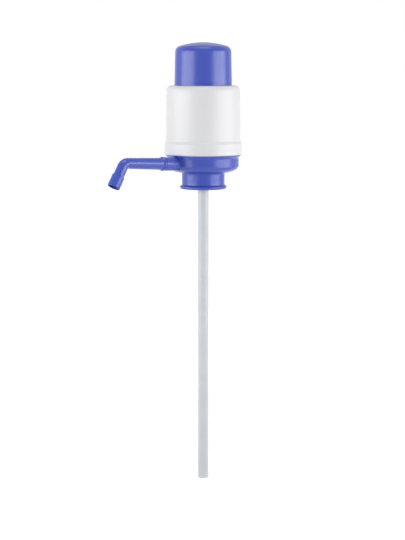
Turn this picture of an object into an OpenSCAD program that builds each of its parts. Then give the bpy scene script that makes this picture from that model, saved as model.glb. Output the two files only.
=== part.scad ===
// Hand pump for water: a press cap works a bellows, the air goes down past a check valve,
// and water rises through the dip tube and leaves by the side spout.
// The origin is on the pump's axis, on the plane where the gasket meets the neck's rim.
// +Z is up. The spout leaves to the left (-X) and the front (-Y).

/* [Neck socket] */
// Outer diameter of the neck that the socket fits over
neck_d = 55; // [54:0.5:56]
// Radial play between the neck and the socket
neck_play = 0.4; // [0.3:0.05:0.6]
// Wall thickness of the socket
socket_wall = 1.35; // [1.2:0.05:1.6]
// Depth of the socket below the gasket
socket_depth = 18.5; // [18:0.5:24]
// How far the lip bead stands out from the socket's wall
lip_stand = 3; // [2:0.05:3.2]
// Height of the lip bead
lip_h = 5.5; // [4.5:0.5:6.5]
// Thickness of the rim gasket
gasket_t = 3.2; // [2.8:0.1:3.6]
// Inner diameter of the rim gasket
gasket_hole_d = 42; // [41:0.5:44]

/* [Base] */
// How far the bowl's side stays back from the housing's lower band
bowl_step = 4.2; // [3.8:0.1:4.6]
// Wall thickness of the base
base_wall = 2.2; // [2:0.1:2.4]
// Width of the bowl's rounded underside, measured inwards from its side
bowl_round_w = 24; // [20:1:26]
// Height of the bowl's rounded underside
bowl_round_h = 9.9; // [9:0.1:11]
// Height of the bowl's upright side
bowl_side_h = 10.9; // [10:0.1:12]
// Height of the bevelled flange on top of the bowl
flange_h = 4.3; // [4:0.1:5]
// How far the flange stays back from the housing's outer edge
flange_inset = 0.8; // [0.5:0.1:1.2]
// Height of the ring that centres the housing on the flange
spigot_h = 12; // [11.5:0.5:12.5]
// Height of the snap lugs on that ring
lug_h = 3; // [2.5:0.1:3.5]
// How far a snap lug stands out
lug_stand = 0.9; // [0.7:0.1:1]

/* [Housing] */
// Height of the housing
housing_h = 93.4; // [90:0.5:98]
// Diameter of the housing just above its lower band
housing_d = 101.6; // [101:0.1:102.2]
// How far the housing's side leans in from there up to its rounded top edge
housing_draft = 0.6; // [0.4:0.1:0.8]
// How far the lower band's top edge stands out from the housing's side
band_stand = 1.9; // [1.7:0.1:2.2]
// How far the lower band's bottom edge stands out beyond its top edge
band_flare = 0.5; // [0.4:0.1:0.7]
// Height of the lower band
band_h = 13.9; // [13.5:0.1:15]
// Height of the slope from the band up to the housing's side
band_slope_h = 5; // [4:0.5:6]
// Wall thickness of the housing
housing_wall = 2.2; // [2:0.1:2.4]
// Radius of the housing's top edge
housing_corner_r = 7.5; // [6:0.5:8.5]
// Radius of the edge around the cap's opening
opening_edge_r = 1.2; // [0.8:0.1:1.4]
// Length of the guide sleeve below the housing's top
guide_h = 13.7; // [12:0.1:16]
// Wall thickness of the guide sleeve
guide_wall = 2; // [1.6:0.1:2.2]

/* [Press cap] */
// Width of the housing's top between its side and the cap
top_w = 11.15; // [10.9:0.05:11.5]
// How far the cap's side leans in from the housing up to the cap's shoulder
cap_draft = 1.05; // [0.8:0.05:1.3]
// Height of the cap above the housing
cap_h = 58; // [54:0.5:60]
// Radius of the cap's shoulder
cap_shoulder_r = 8.5; // [7:0.5:9]
// Radius of the cap's domed top
cap_dome_r = 107; // [95:1:130]
// Wall thickness of the cap
cap_wall = 2.2; // [2:0.1:2.4]
// Radial play between the cap and its guide sleeve
cap_play = 0.35; // [0.3:0.05:0.5]
// How far the cap's stop flange stands out
stop_stand = 3.5; // [3:0.1:4]
// Thickness of the stop flange
stop_t = 3.6; // [3:0.1:4]
// Gap between the stop flange and the guide sleeve when the cap is up
stop_gap = 0.2; // [0.1:0.05:0.3]

/* [Bellows and their plate] */
// Gap between the bellows and the cap's wall
bellows_gap = 2.85; // [2.6:0.05:3.2]
// Depth of each fold
fold_depth = 6.5; // [6:0.1:7]
// Number of folds
fold_count = 10; // [8:1:12]
// Wall thickness of the bellows, measured across
bellows_wall = 1.9; // [1.6:0.1:2]
// Thickness of the bellows' flanges
bellows_flange_t = 2; // [1.6:0.1:2.2]
// Distance from the cap's top down to the bellows
bellows_drop = 13.6; // [13:0.1:15]
// Diameter of the opening in the bellows' top
bellows_hole_d = 24; // [23:0.5:25]
// How far the bellows plate stands out beyond the spring
plate_rim = 2.1; // [1.6:0.1:2.6]
// Thickness of the bellows plate
plate_t = 2.5; // [2.2:0.1:3]

/* [Return spring] */
// Gap between the spring and the bellows' inner folds
spring_side_gap = 1.2; // [1:0.1:1.6]
// Diameter of the spring's wire
wire_d = 2.4; // [2:0.1:2.6]
// Number of open coils
open_coils = 8; // [7:1:10]
// Clear gap between the closed coils at the ends
closed_gap = 0.7; // [0.6:0.1:1]

/* [Chamber plate and clamp ring] */
// Thickness of the chamber plate
chamber_t = 2.5; // [2.2:0.1:3]
// Thickness of the flat seal under the chamber plate
chamber_seal_t = 1; // [0.8:0.1:1.2]
// Height of the rim that centres the spring
spring_rim_h = 3; // [2.5:0.5:4]
// Thickness of the clamp ring above the bellows' flange
clamp_t = 3; // [2.6:0.1:3.2]
// Width of the clamp ring's grip on the bellows' flange
clamp_grip = 3.4; // [3:0.1:3.8]
// Number of holes that let the air through the chamber plate
air_hole_count = 8; // [6:1:10]
// Diameter of those air holes
air_hole_d = 5; // [4:0.5:5.5]

/* [Valves] */
// Thickness of the valve disc and of the valve ring
valve_t = 1.2; // [1:0.1:1.4]
// Distance that each valve lifts
valve_lift = 1; // [0.8:0.1:1.2]
// Diameter of the intake valve disc
intake_d = 17; // [16.6:0.1:17.4]
// Outer diameter of the outlet valve ring
outlet_d = 34; // [33.5:0.1:34.5]
// Diameter of the circle that the bellows plate's intake ports lie on
intake_port_circle_d = 9; // [8.6:0.1:9.6]
// Diameter of the valve ports in the bellows plate and the base
port_d = 3.2; // [2.8:0.1:3.4]
// Number of valve ports in the base's floor
port_count = 8; // [6:1:10]
// Floor thickness of the valve cages
cage_t = 1.5; // [1.3:0.1:1.7]
// Width of the cages' rim
cage_rim = 1.5; // [1.3:0.1:1.7]
// Number of openings in each cage's rim
cage_gap_count = 6; // [4:1:8]

/* [Spout] */
// Turn of the spout from the left towards the front, in degrees
spout_turn = 42; // [30:1:60]
// Rise of the spout's long leg, in degrees
spout_rise = 3; // [2:0.5:4]
// Height of the spout's axis where it leaves the boss
spout_z = 18.4; // [17.8:0.1:18.6]
// Distance along the boss from the pump's axis to the boss's mouth
boss_reach = 72.6; // [68:0.2:78]
// Outer diameter of the boss
boss_d = 18.2; // [17.8:0.1:18.6]
// Diameter of the boss's bore
boss_bore_d = 13.4; // [13.2:0.1:13.6]
// Depth of the boss's bore
boss_bore_l = 22; // [20:0.5:23]
// Radial running clearance of the spout in the boss
swivel_play = 0.08; // [0.05:0.01:0.1]
// Distance from the boss's mouth to the spout's corner
spout_l = 66.6; // [60:0.2:75]
// Length of the bent leg from the corner to the nozzle's end
leg_l = 35.5; // [32:0.5:40]
// Fall of the bent leg below the horizontal, in degrees
leg_fall = 59; // [55:1:65]
// Radius of the bend at its middle line
bend_r = 9.5; // [8.5:0.5:11]
// Outer diameter of the pipe next to the collar
pipe_d = 15.9; // [15.4:0.1:16.2]
// Outer diameter of the pipe at the bend and along the bent leg
pipe_end_d = 14.4; // [14:0.1:14.6]
// Diameter of the pipe's bore
pipe_bore_d = 8.4; // [7.6:0.1:8.6]
// Diameter of the spout's collar
collar_d = 18.8; // [18.2:0.1:19.2]
// Length of the collar's straight part
collar_l = 2.2; // [2:0.1:3.5]
// Length of the slope from the collar down to the pipe
collar_slope_l = 2.6; // [2:0.1:4]
// Diameter of the nozzle
nozzle_d = 17; // [16.8:0.1:17.4]
// Length of the nozzle
nozzle_l = 16.4; // [14:0.1:17]
// Depth of the nozzle's open end beyond the pipe
nozzle_mouth_l = 6.6; // [6:0.1:7]
// Diameter of the nozzle's open end
nozzle_bore_d = 15; // [14.9:0.1:15.2]
// Section diameter of the spout's O-ring
spout_ring_d = 1.5; // [1.3:0.1:1.6]

/* [Dip tube] */
// Outer diameter of the dip tube
tube_d = 15; // [14.6:0.1:15.2]
// Wall thickness of the dip tube
tube_wall = 1.3; // [1.2:0.1:1.5]
// Distance from the rim plane down to the dip tube's end
tube_reach = 422; // [350:1:450]
// Length of the spigot that joins one section to the next
tube_spigot_l = 12; // [10:0.5:16]
// Distance from the rim plane down to the riser's mouth
riser_drop = 16; // [15:0.5:17]
// Height of the riser's top above the boss beside it
riser_stand = 1; // [0.8:0.1:1.5]
// Depth of the riser's socket for the dip tube
riser_socket_l = 18; // [17:0.5:18.5]
// Outer diameter of the riser
riser_d = 20.4; // [20:0.1:20.8]
// Diameter of the water way above the dip tube
riser_bore_d = 11; // [10:0.5:11.5]
// Distance from the riser's mouth up to the middle of its seal ring
tube_seal_up = 5; // [4:0.5:7]
// Section diameter of the dip tube's seal ring
tube_seal_d = 1.4; // [1.2:0.1:1.5]

/* [Screws and clearances] */
// Diameter of a screw's shank
screw_d = 3; // [2.8:0.1:3.2]
// Diameter of a screw's head
screw_head_d = 6; // [5.6:0.1:6.2]
// Height of a screw's head
screw_head_h = 1.8; // [1.6:0.1:2]
// Length of the thread in its boss
screw_grip = 9; // [8:0.5:9.5]
// Outer diameter of a screw boss
screw_boss_d = 7.2; // [7:0.1:7.6]
// Play between pieces that are pushed or laid together
fit_play = 0.05; // [0.03:0.01:0.1]
// Play around loose plates and rings
loose_play = 0.3; // [0.2:0.05:0.4]

/* [Hidden] */
$fn = 96;
cut = 1;                   // how far a cutting tool runs past the face it opens
bend_lap = 1;              // angle by which the pipe's bend runs into its straight legs
bend_step = 0.06;          // how much thinner the bend is than those legs
arc_steps = 12;            // steps in a drawn arc
edge_bevel = 0.4;          // bevel on the small visible edges
valve_gap = 0.05;          // rest gap between a valve and its cage's floor
valve_ring_play = 0.5;     // radial play of the valve ring around the riser
spigot_end_gap = 1;        // gap between the spout's spigot and the bottom of its bore
recess_w = 0.9;            // width of a screw's cross recess
groove_play = 0.3;         // side play of a seal ring in its groove
pin_tip = 0.6;             // depth left below a screw's end in its hole
boss_root = 0.8;           // how far the clamp screws' bosses run into the bowl's wall
clamp_screw_count = 4;
cap_screw_count = 3;
lug_count = 4;
tube_section_count = 3;
lug_angle = 12;
spring_sides = 6;
spring_rings = 8;          // rings in one coil

// Heights, from the socket's mouth up to the cap's top
floor_z = gasket_t;
side_z = floor_z + bowl_round_h;
flange_z = side_z + bowl_side_h;
joint_z = flange_z + flange_h;
chamber_z = joint_z + chamber_seal_t;
chamber_top_z = chamber_z + chamber_t;
clamp_z = chamber_top_z + bellows_flange_t;
clamp_top_z = clamp_z + clamp_t;
top_z = joint_z + housing_h;
guide_z = top_z - guide_h;
stop_z = guide_z - stop_gap;
cap_z = top_z + cap_h;
bellows_top_z = cap_z - bellows_drop;
plate_top_z = bellows_top_z - bellows_flange_t;
plate_z = plate_top_z - plate_t;

// Radii of the housing and its lower band
housing_r = housing_d / 2;
housing_top_r = housing_r - housing_draft;
band_top_r = housing_r + band_stand;
band_r = band_top_r + band_flare;

// Radii of the neck socket and the bowl
socket_r = neck_d / 2 + neck_play;
socket_out_r = socket_r + socket_wall;
lip_r = socket_out_r + lip_stand;
bowl_r = band_top_r - bowl_step;
bowl_in_r = bowl_r - base_wall;
round_c = [bowl_r - bowl_round_w, side_z];
riser_r = riser_d / 2;

// Radii of the joint between base and housing
band_in_r = band_top_r - housing_wall;
spigot_r = band_in_r - loose_play;
spigot_in_r = spigot_r - base_wall;
flange_r = band_r - flange_inset;

// Radii of the cap, the bellows and the spring in them, and of the plate over the spring
cap_r = housing_top_r - top_w;
cap_top_r = cap_r - cap_draft;
opening_r = cap_r + cap_play;
bellows_r = cap_r - cap_wall - bellows_gap;
spring_r = bellows_r - bellows_wall - fold_depth - spring_side_gap - wire_d / 2;
plate_r = spring_r + wire_d / 2 + plate_rim;

// Valves
intake_port_r = intake_port_circle_d / 2;
outlet_in_r = riser_r + valve_ring_play;
outlet_port_r = (outlet_in_r + outlet_d / 2) / 2;
intake_cage_r = intake_d / 2 + loose_play + cage_rim;
outlet_cage_r = outlet_d / 2 + loose_play + cage_rim;
cage_depth = valve_t + valve_lift + valve_gap;

// Screw circles
clamp_circle_r = bowl_in_r - screw_boss_d / 2 + boss_root;
cap_circle_r = (spring_r - wire_d / 2 + intake_cage_r) / 2;
clamp_shank_l = clamp_top_z - joint_z + screw_grip;
cap_shank_l = plate_t + bellows_flange_t + screw_grip - pin_tip * 2;
screw_hole_d = screw_d + 2 * fit_play;

// Bellows
bellows_flange_r = clamp_circle_r - screw_hole_d / 2 - housing_wall;
fold_z0 = clamp_z;
fold_pitch = (plate_top_z - fold_z0) / fold_count;
fold_flat = 0.7;           // half the height of a fold's flat crest

// Cap
shoulder_c = [
    cap_top_r - cap_shoulder_r,
    cap_z - cap_dome_r
        + sqrt(pow(cap_dome_r - cap_shoulder_r, 2) - pow(cap_top_r - cap_shoulder_r, 2))
];
dome_c = [0, cap_z - cap_dome_r];
dome_angle = atan2(shoulder_c[1] - dome_c[1], shoulder_c[0]);

// Spout
boss_z = spout_z - boss_reach * sin(spout_rise);
swivel_r = boss_bore_d / 2 - swivel_play;
spigot_l = boss_bore_l - spigot_end_gap;
bend_angle = leg_fall + spout_rise;
bend_run = bend_r * tan(bend_angle / 2);
ring_groove_r = boss_bore_d / 2 - fit_play - spout_ring_d;
ring_x = boss_reach - boss_bore_l / 2;

// Dip tube
tube_r = tube_d / 2;
tube_bore_r = tube_r - tube_wall;
tube_top_z = riser_socket_l - riser_drop - loose_play;
tube_section_l = (tube_top_z + tube_reach) / tube_section_count;
tube_seal_z = tube_seal_up - riser_drop;

// Spring
spring_low_z = chamber_top_z + wire_d / 2 + fit_play;
spring_high_z = plate_z - wire_d / 2 - fit_play;
closed_pitch = wire_d + closed_gap;
open_pitch = (spring_high_z - spring_low_z - 2 * closed_pitch) / open_coils;
spring_coils = open_coils + 2;

blue = [0.33, 0.39, 0.72];
white = [0.91, 0.91, 0.92];
milky = [0.84, 0.86, 0.87];
silicone = [0.80, 0.84, 0.86];
black_rubber = [0.13, 0.13, 0.14];
steel = [0.72, 0.73, 0.75];

// Points on an arc with two radii, from angle a0 to angle a1, both ends included
function oval(c, rx, ry, a0, a1) = [
    for (i = [0:arc_steps])
        let (a = a0 + (a1 - a0) * i / arc_steps)
        c + [rx * cos(a), ry * sin(a)]
];

function arc(c, r, a0, a1) = oval(c, r, r, a0, a1);

// A closed ring with a square section
module ring(r_in, r_out, z, h) {
    translate([0, 0, z])
        difference() {
            cylinder(r = r_out, h = h);
            translate([0, 0, -cut]) cylinder(r = r_in, h = h + 2 * cut);
        }
}

// Copies on a circle, the first one a half step away from the spout
module on_circle(count, r) {
    for (i = [0:count - 1])
        rotate(180 + spout_turn + (i + 0.5) * 360 / count)
            translate([r, 0, 0])
                children();
}

// Places a shape in the spout's frame: X runs out along the boss, Z is up
module along_spout() {
    rotate(180 + spout_turn)
        translate([0, 0, boss_z])
            rotate([0, -spout_rise, 0])
                children();
}

// A round rod along X
module x_rod(x0, x1, d) {
    translate([x0, 0, 0])
        rotate([0, 90, 0])
            cylinder(d = d, h = x1 - x0);
}

// A shape turned about X from its outline, a list of [radius, x]
module x_turned(outline) {
    rotate([0, 90, 0])
        rotate_extrude()
            polygon(outline);
}

// ---- Base ----

// Outside of the base: socket, rounded bowl, bevelled flange and centring ring
module base_outside() {
    bead_r = lip_h / 2;
    rotate_extrude()
        polygon(concat(
            [[0, -socket_depth]],
            arc([lip_r - bead_r, -socket_depth + bead_r], bead_r, -90, 90),
            [[socket_out_r, -socket_depth + lip_h], [socket_out_r, floor_z]],
            [for (p = oval(round_c, bowl_round_w, bowl_round_h, -90, 0))
                if (p[0] > socket_out_r) p],
            [
                [bowl_r, flange_z],
                [flange_r - edge_bevel, joint_z - 2 * edge_bevel],
                [flange_r, joint_z],
                [spigot_r, joint_z],
                [spigot_r, joint_z + spigot_h - edge_bevel],
                [spigot_r - edge_bevel, joint_z + spigot_h],
                [0, joint_z + spigot_h]
            ]
        ));
}

// Air space of the bowl, with the ledge for the chamber plate above it
module base_hollow() {
    rotate_extrude()
        polygon(concat(
            [[0, floor_z + base_wall], [round_c[0], floor_z + base_wall]],
            oval(round_c, bowl_round_w - base_wall, bowl_round_h - base_wall, -90, 0),
            [
                [bowl_in_r, joint_z],
                [spigot_in_r, joint_z],
                [spigot_in_r, joint_z + spigot_h + cut],
                [0, joint_z + spigot_h + cut]
            ]
        ));
}

// One snap lug, or the pocket for it when play is more than zero
module lugs(play) {
    for (i = [0:lug_count - 1])
        rotate(180 + spout_turn + i * 360 / lug_count - lug_angle / 2 - play)
            rotate_extrude(angle = lug_angle + 2 * play)
                translate([spigot_r - edge_bevel, joint_z + spigot_h / 2 - play])
                    square([lug_stand + edge_bevel + play, lug_h + 2 * play]);
}

module base() {
    color(blue) {
        difference() {
            union() {
                difference() {
                    base_outside();
                    base_hollow();
                    translate([0, 0, -socket_depth - cut])
                        cylinder(r = socket_r, h = socket_depth + floor_z + cut);
                }
                lugs(0);
                // Bosses for the clamp screws, rooted in the bowl's wall
                intersection() {
                    on_circle(clamp_screw_count, clamp_circle_r)
                        cylinder(d = screw_boss_d, h = joint_z - loose_play);
                    base_outside();
                }
                // Riser and the water way out to the boss
                translate([0, 0, -riser_drop])
                    cylinder(r = riser_r, h = riser_drop + boss_z + boss_d / 2 + riser_stand);
                along_spout()
                    x_rod(0, boss_reach, boss_d);
            }
            // Water way
            translate([0, 0, -riser_drop - cut])
                cylinder(r = tube_r + fit_play, h = riser_socket_l + cut);
            translate([0, 0, -riser_drop])
                cylinder(d = riser_bore_d, h = riser_drop + boss_z);
            along_spout() {
                x_rod(0, boss_reach, pipe_bore_d);
                x_rod(boss_reach - boss_bore_l, boss_reach + cut, boss_bore_d);
            }
            // Groove for the dip tube's seal ring
            ring(
                0, tube_r + tube_seal_d,
                tube_seal_z - tube_seal_d / 2 - groove_play / 2, tube_seal_d + groove_play
            );
            // Air ports in the floor
            on_circle(port_count, outlet_port_r)
                translate([0, 0, floor_z - cut])
                    cylinder(d = port_d, h = base_wall + 2 * cut);
            // Holes for the clamp screws
            on_circle(clamp_screw_count, clamp_circle_r)
                translate([0, 0, joint_z - screw_grip - pin_tip])
                    cylinder(d = screw_hole_d, h = screw_grip + pin_tip + cut);
        }
    }
}

module rim_gasket() {
    color(silicone)
        ring(gasket_hole_d / 2, socket_r - loose_play, 0, gasket_t);
}

// ---- Valves ----

// A cup with openings in its rim. Its floor has a round hole, and the rim points up.
module valve_cage(r, hole_r) {
    sill = cage_rim / 4;
    difference() {
        cylinder(r = r, h = cage_t + cage_depth);
        translate([0, 0, cage_t]) cylinder(r = r - cage_rim, h = cage_depth + cut);
        translate([0, 0, -cut]) cylinder(r = hole_r, h = cage_t + 2 * cut);
        on_circle(cage_gap_count, r)
            translate([-2 * cage_rim, -cage_rim, cage_t + sill])
                cube([3 * cage_rim, 2 * cage_rim, cage_depth - 2 * sill]);
    }
}

module outlet_valve_ring() {
    color(silicone)
        ring(outlet_in_r, outlet_d / 2, floor_z - valve_lift - valve_t, valve_t);
}

module outlet_valve_cage() {
    color(milky)
        translate([0, 0, floor_z - cage_depth - cage_t])
            valve_cage(outlet_cage_r, riser_r + fit_play);
}

module intake_valve_disc() {
    color(silicone)
        translate([0, 0, plate_z - valve_lift - valve_t])
            cylinder(d = intake_d, h = valve_t);
}

module intake_valve_cage() {
    color(milky)
        translate([0, 0, plate_z - cage_depth - cage_t])
            valve_cage(intake_cage_r, intake_port_r);
}

// ---- Dip tube ----

module tube_seal() {
    color(black_rubber)
        rotate_extrude()
            translate([tube_r + tube_seal_d / 2 + fit_play / 2, tube_seal_z])
                circle(d = tube_seal_d - fit_play);
}

// One section of the dip tube below height z. A jointed section has a spigot on top.
module tube_section(z, jointed) {
    spigot_r = tube_bore_r - fit_play;
    color(milky)
        translate([0, 0, z - tube_section_l])
            difference() {
                union() {
                    cylinder(r1 = tube_r - edge_bevel, r2 = tube_r, h = edge_bevel);
                    translate([0, 0, edge_bevel])
                        cylinder(r = tube_r, h = tube_section_l - 2 * edge_bevel);
                    translate([0, 0, tube_section_l - edge_bevel])
                        cylinder(r1 = tube_r, r2 = tube_r - edge_bevel, h = edge_bevel);
                    if (jointed)
                        cylinder(r = spigot_r, h = tube_section_l + tube_spigot_l);
                }
                translate([0, 0, -cut])
                    cylinder(
                        r = tube_bore_r,
                        h = tube_section_l + cut - (jointed ? tube_spigot_l : -cut)
                    );
                if (jointed)
                    cylinder(
                        r = spigot_r - tube_wall,
                        h = tube_section_l + tube_spigot_l + cut
                    );
            }
}

module dip_tube_upper() {
    tube_section(tube_top_z, false);
}

module dip_tube_middle() {
    tube_section(tube_top_z - tube_section_l, true);
}

module dip_tube_lower() {
    tube_section(tube_top_z - 2 * tube_section_l, true);
}

// ---- Chamber plate, its seal and the clamp ring ----

module chamber_seal() {
    color(black_rubber)
        ring(bowl_in_r + loose_play, spigot_in_r - loose_play, joint_z, chamber_seal_t);
}

module chamber_plate() {
    rim_r = spring_r + wire_d / 2 + loose_play;
    color(white)
        difference() {
            union() {
                translate([0, 0, chamber_z])
                    cylinder(r = spigot_in_r - loose_play, h = chamber_t);
                ring(rim_r, rim_r + cage_rim, chamber_top_z, spring_rim_h);
            }
            on_circle(air_hole_count, outlet_port_r)
                translate([0, 0, chamber_z - cut])
                    cylinder(d = air_hole_d, h = chamber_t + 2 * cut);
            on_circle(clamp_screw_count, clamp_circle_r)
                translate([0, 0, chamber_z - cut])
                    cylinder(d = screw_hole_d, h = chamber_t + 2 * cut);
        }
}

module bellows_clamp_ring() {
    outer_r = spigot_in_r - loose_play;
    seat_r = bellows_flange_r + fit_play;
    color(white)
        difference() {
            union() {
                ring(seat_r - clamp_grip, outer_r, clamp_z, clamp_t);
                ring(seat_r, outer_r, chamber_top_z, bellows_flange_t);
            }
            on_circle(clamp_screw_count, clamp_circle_r)
                translate([0, 0, chamber_top_z - cut])
                    cylinder(d = screw_hole_d, h = clamp_top_z - chamber_top_z + 2 * cut);
        }
}

// A pan-head screw that points down, with the underside of its head at height zero
module pan_screw(shank_l) {
    difference() {
        union() {
            cylinder(d = screw_head_d, h = screw_head_h);
            translate([0, 0, -shank_l]) cylinder(d = screw_d, h = shank_l);
        }
        for (a = [0, 90])
            rotate(a)
                translate([-screw_head_d / 4, -recess_w / 2, screw_head_h / 2])
                    cube([screw_head_d / 2, recess_w, screw_head_h]);
    }
}

module clamp_screws() {
    color(steel)
        on_circle(clamp_screw_count, clamp_circle_r)
            translate([0, 0, clamp_top_z])
                pan_screw(clamp_shank_l);
}

// ---- Bellows and return spring ----

// Radius of the bellows' outside at its corners, inner and outer folds by turns
function fold_points(out_r) = [
    for (i = [0:fold_count], side = [-1, 1], flat = [-1, 1])
        let (
            outer = side < 0,
            z = fold_z0 + (i + (outer ? 0 : 0.5)) * fold_pitch + flat * fold_flat
        )
        if (z > fold_z0 && z < plate_top_z)
            [out_r - (outer ? 0 : fold_depth), z]
];

module bellows() {
    out_r = bellows_r;
    in_r = out_r - bellows_wall;
    inner = fold_points(in_r);
    last = len(inner) - 1;
    color(black_rubber)
        difference() {
            rotate_extrude()
                polygon(concat(
                    [
                        [in_r, chamber_top_z],
                        [bellows_flange_r, chamber_top_z],
                        [bellows_flange_r, clamp_z],
                        [out_r, clamp_z]
                    ],
                    fold_points(out_r),
                    [
                        [out_r, plate_top_z],
                        [out_r - bellows_flange_t, bellows_top_z],
                        [bellows_hole_d / 2, bellows_top_z],
                        [bellows_hole_d / 2, plate_top_z],
                        [in_r, plate_top_z]
                    ],
                    [for (i = [last:-1:0]) inner[i]]
                ));
            on_circle(cap_screw_count, cap_circle_r)
                translate([0, 0, plate_top_z - cut])
                    cylinder(d = screw_hole_d, h = bellows_flange_t + 2 * cut);
        }
}

// Height of the spring's wire after t coils: closed coils at both ends, open ones between
function wire_z(t) = spring_low_z
    + closed_pitch * (min(t, 1) + max(t - spring_coils + 1, 0))
    + open_pitch * min(max(t - 1, 0), open_coils);

function wire_point(t) = [
    spring_r * cos(360 * t),
    spring_r * sin(360 * t),
    wire_z(t)
];

ring_total = spring_coils * spring_rings;
wire_line = [for (i = [0:ring_total]) wire_point(i / spring_rings)];
spring_gap = min([
    for (i = [0:ring_total - spring_rings], j = [i + spring_rings - 2:ring_total])
        norm(wire_line[i] - wire_line[j])
]) - wire_d;
echo(str("return_spring least gap to itself, mm: ", spring_gap));

module return_spring() {
    step = 0.01;
    points = [
        for (i = [0:ring_total], k = [0:spring_sides - 1])
            let (
                t = i / spring_rings,
                run = wire_point(t + step) - wire_point(t - step),
                out = [cos(360 * t), sin(360 * t), 0],
                up = cross(out, run) / norm(cross(out, run)),
                a = 360 * k / spring_sides
            )
            wire_line[i] + wire_d / 2 * (cos(a) * out + sin(a) * up)
    ];
    sides = [
        for (i = [0:ring_total - 1], k = [0:spring_sides - 1])
            let (
                a = i * spring_sides + k,
                b = i * spring_sides + (k + 1) % spring_sides
            )
            each [
                [a, b, b + spring_sides],
                [a, b + spring_sides, a + spring_sides]
            ]
    ];
    end = ring_total * spring_sides;
    caps = [
        for (k = [1:spring_sides - 2])
            each [[0, k + 1, k], [end, end + k, end + k + 1]]
    ];
    color(steel)
        polyhedron(points = points, faces = concat(sides, caps));
}

// ---- Housing ----

module housing() {
    band_top_z = joint_z + band_h;
    body_z = band_top_z + band_slope_h;
    corner_r = min(housing_corner_r, housing_top_r - opening_r - guide_wall);
    corner = [housing_top_r - corner_r, top_z - corner_r];
    edge = [opening_r + opening_edge_r, top_z - opening_edge_r];
    color(white)
        difference() {
            rotate_extrude()
                polygon(concat(
                    [
                        [band_in_r, joint_z],
                        [band_r - 2 * edge_bevel, joint_z],
                        [band_r, joint_z + 2 * edge_bevel],
                        [band_top_r, band_top_z],
                        [housing_r, body_z]
                    ],
                    arc(corner, corner_r, 0, 90),
                    arc(edge, opening_edge_r, 90, 180),
                    [
                        [opening_r, guide_z],
                        [opening_r + guide_wall, guide_z],
                        [opening_r + guide_wall, top_z - housing_wall]
                    ],
                    arc(corner, corner_r - housing_wall, 90, 0),
                    [
                        [housing_r - housing_wall, body_z],
                        [band_in_r, band_top_z]
                    ]
                ));
            lugs(loose_play);
        }
}

// ---- Press cap ----

module cap_outside() {
    rotate_extrude()
        polygon(concat(
            [
                [0, stop_z - stop_t],
                [cap_r + stop_stand, stop_z - stop_t],
                [cap_r + stop_stand, stop_z],
                [cap_r, stop_z],
                [cap_r, top_z]
            ],
            arc(shoulder_c, cap_shoulder_r, 0, dome_angle),
            arc(dome_c, cap_dome_r, dome_angle, 90)
        ));
}

module cap_hollow() {
    rotate_extrude()
        polygon(concat(
            [
                [0, stop_z - stop_t - cut],
                [cap_r - cap_wall, stop_z - stop_t - cut],
                [cap_r - cap_wall, top_z]
            ],
            arc(shoulder_c, cap_shoulder_r - cap_wall, 0, dome_angle),
            arc(dome_c, cap_dome_r - cap_wall, dome_angle, 90)
        ));
}

module press_cap() {
    color(blue)
        difference() {
            union() {
                difference() {
                    cap_outside();
                    cap_hollow();
                }
                intersection() {
                    on_circle(cap_screw_count, cap_circle_r)
                        translate([0, 0, bellows_top_z])
                            cylinder(d = screw_boss_d, h = bellows_drop);
                    cap_outside();
                }
            }
            on_circle(cap_screw_count, cap_circle_r)
                translate([0, 0, bellows_top_z - cut])
                    cylinder(d = screw_hole_d, h = screw_grip - pin_tip + cut);
        }
}

module bellows_plate() {
    hub_r = bellows_hole_d / 2 - fit_play;
    color(white)
        difference() {
            union() {
                translate([0, 0, plate_z]) cylinder(r = plate_r, h = plate_t);
                translate([0, 0, plate_z]) cylinder(r = hub_r, h = bellows_top_z - plate_z);
            }
            on_circle(cap_screw_count * 2, intake_port_r)
                translate([0, 0, plate_z - cut])
                    cylinder(d = port_d, h = bellows_top_z - plate_z + 2 * cut);
            on_circle(cap_screw_count, cap_circle_r)
                translate([0, 0, plate_z - cut])
                    cylinder(d = screw_hole_d, h = plate_t + 2 * cut);
        }
}

module cap_screws() {
    color(steel)
        on_circle(cap_screw_count, cap_circle_r)
            translate([0, 0, plate_z])
                mirror([0, 0, 1])
                    pan_screw(cap_shank_l);
}

// ---- Spout ----

// A round rod round the spout's bend and down its bent leg
module bend_and_leg(d, leg_end) {
    corner_x = boss_reach + spout_l;
    translate([corner_x - bend_run, 0, -bend_r])
        rotate([90, 0, 0])
            rotate(90 - bend_angle - bend_lap)
                rotate_extrude(angle = bend_angle + 2 * bend_lap)
                    translate([bend_r, 0])
                        circle(d = d - bend_step);
    translate([corner_x, 0, 0])
        rotate([0, bend_angle, 0])
            x_rod(bend_run, leg_end, d);
}

// The pipe turns in the boss on its grooved spigot, behind the collar
module spout_pipe() {
    start_x = boss_reach - spigot_l;
    collar_x = boss_reach + fit_play;
    slope_x = collar_x + collar_l;
    bend_x = boss_reach + spout_l - bend_run;
    pipe_end = leg_l - nozzle_mouth_l;
    groove_half = (spout_ring_d + groove_play) / 2;
    color(blue)
        along_spout()
            difference() {
                union() {
                    x_turned([
                        [0, start_x],
                        [swivel_r - edge_bevel, start_x],
                        [swivel_r, start_x + edge_bevel],
                        [swivel_r, ring_x - groove_half],
                        [ring_groove_r, ring_x - groove_half],
                        [ring_groove_r, ring_x + groove_half],
                        [swivel_r, ring_x + groove_half],
                        [swivel_r, collar_x],
                        [collar_d / 2, collar_x],
                        [collar_d / 2, slope_x],
                        [pipe_d / 2, slope_x + collar_slope_l],
                        [pipe_end_d / 2, bend_x],
                        [0, bend_x]
                    ]);
                    bend_and_leg(pipe_end_d, pipe_end);
                }
                x_rod(start_x - cut, bend_x, pipe_bore_d);
                bend_and_leg(pipe_bore_d, pipe_end + cut);
            }
}

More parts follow.
